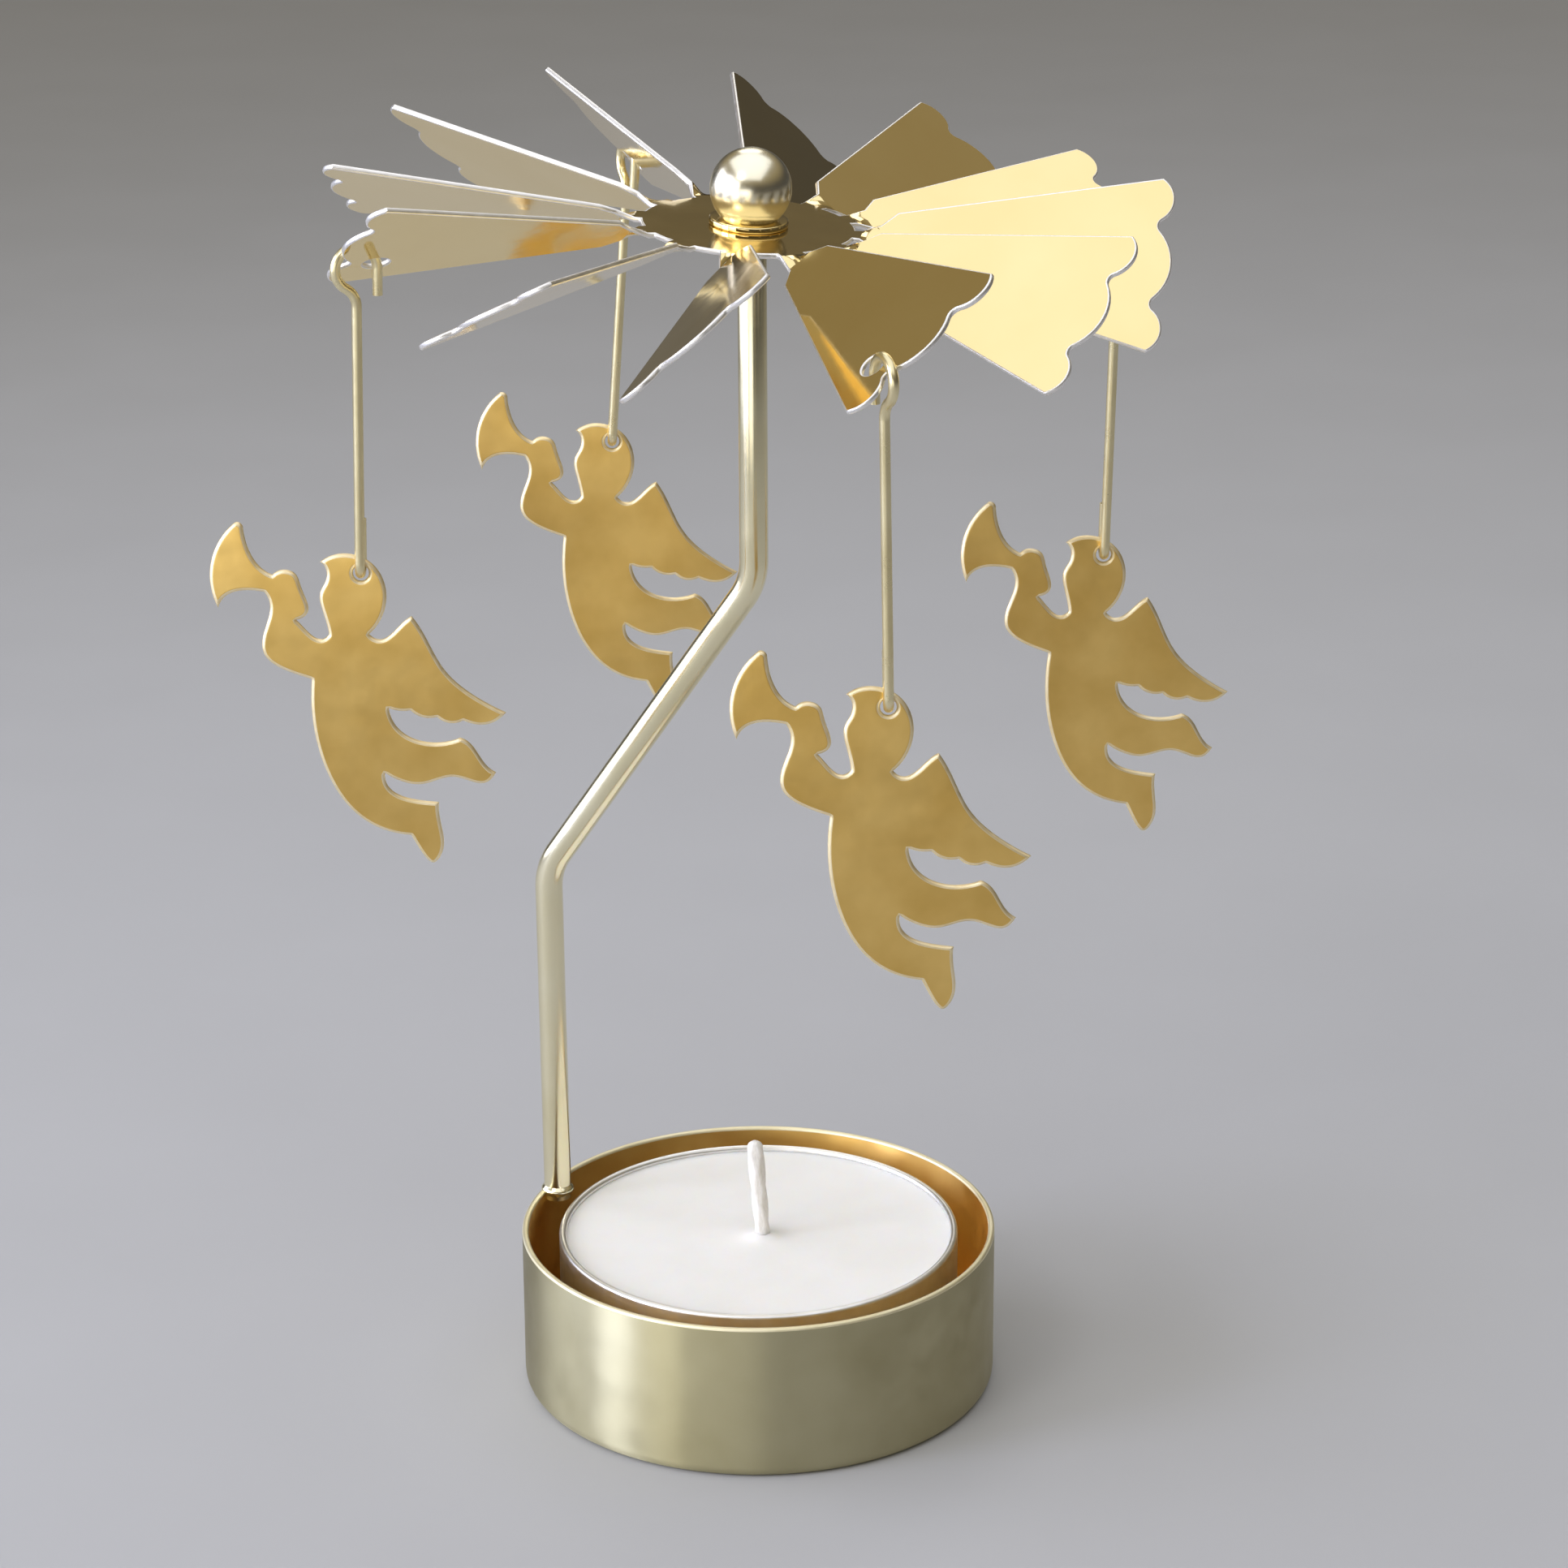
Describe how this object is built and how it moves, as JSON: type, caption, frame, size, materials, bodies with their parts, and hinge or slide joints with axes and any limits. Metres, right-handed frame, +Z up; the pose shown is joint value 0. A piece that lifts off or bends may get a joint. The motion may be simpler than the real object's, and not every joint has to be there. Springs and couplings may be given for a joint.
{
  "type": "angel chime carousel",
  "caption": "Tealight holder with a bent stem, on whose point a bladed fan turns in the candle's warm air and carries sheet-metal angels on wire hangers.",
  "frame": {"origin": "centre of the cup's underside", "axes": "+Z up along the spin axis, -Y towards the front of the picture, +X to its right"},
  "size_m": [0.0925, 0.0745, 0.1203],
  "materials": {
    "satin_gold": "satin pale gold",
    "polished_gold": "polished pale gold",
    "wire_gold": "polished pale gold",
    "mirror_brass": "mirror polish",
    "angel_gold": "brushed satin",
    "shell_aluminium": "bright",
    "holder_steel": "plain",
    "wax": "smooth white wax",
    "wick": "waxed cotton"
  },
  "bodies": {
    "base": {"cup": "satin_gold", "stem": "polished_gold"},
    "tealight": {"tealight_shell": "shell_aluminium", "tealight_wax": "wax", "wick": "wick", "wick_holder": "holder_steel"},
    "rotor": {"fan": "mirror_brass", "collar": "polished_gold", "ball": "polished_gold"},
    "hanger_1": {"hanger_1": "wire_gold"},
    "angel_1": {"angel_1": "angel_gold"},
    "hanger_2": {"hanger_2": "wire_gold"},
    "angel_2": {"angel_2": "angel_gold"},
    "hanger_3": {"hanger_3": "wire_gold"},
    "angel_3": {"angel_3": "angel_gold"},
    "hanger_4": {"hanger_4": "wire_gold"},
    "angel_4": {"angel_4": "angel_gold"}
  },
  "joints": [
    {"name": "tealight_lift", "type": "slide", "parent": "base", "child": "tealight", "axis": [0, 0, 1], "range_m": [0, 0.02]},
    {"name": "rotor_spin", "type": "hinge", "parent": "base", "child": "rotor", "pos_m": [0, 0, 0.1161], "axis": [0, 0, 1], "continuous": true},
    {"name": "hanger_swing_1", "type": "hinge", "parent": "rotor", "child": "hanger_1", "pos_m": [-0.03397, -0.01066, 0.1107], "axis": [-0.3889, 0.9212, 0.0095], "range_deg": [-10, 40]},
    {"name": "angel_swing_1", "type": "hinge", "parent": "hanger_1", "child": "angel_1", "pos_m": [-0.03464, -0.00961, 0.0832], "axis": [0, 1, 0], "range_deg": [-35, 35]},
    {"name": "hanger_swing_2", "type": "hinge", "parent": "rotor", "child": "hanger_2", "pos_m": [-0.01163, 0.0337, 0.11077], "axis": [0.9201, 0.3861, -0.066], "range_deg": [-10, 40]},
    {"name": "angel_swing_2", "type": "hinge", "parent": "hanger_2", "child": "angel_2", "pos_m": [-0.01363, 0.03475, 0.08285], "axis": [0, 1, 0], "range_deg": [-35, 35]},
    {"name": "hanger_swing_3", "type": "hinge", "parent": "rotor", "child": "hanger_3", "pos_m": [0.01054, -0.03315, 0.10642], "axis": [-0.9223, -0.3861, -0.0161], "range_deg": [-10, 40]},
    {"name": "angel_swing_3", "type": "hinge", "parent": "hanger_3", "child": "angel_3", "pos_m": [0.01104, -0.0321, 0.07802], "axis": [0, 1, 0], "range_deg": [-35, 35]},
    {"name": "hanger_swing_4", "type": "hinge", "parent": "rotor", "child": "hanger_4", "pos_m": [0.03324, 0.01087, 0.10746], "axis": [0.3889, -0.9212, -0.0081], "range_deg": [-10, 40]},
    {"name": "angel_swing_4", "type": "hinge", "parent": "hanger_4", "child": "angel_4", "pos_m": [0.03262, 0.01192, 0.07787], "axis": [0, 1, 0], "range_deg": [-35, 35]}
  ]
}
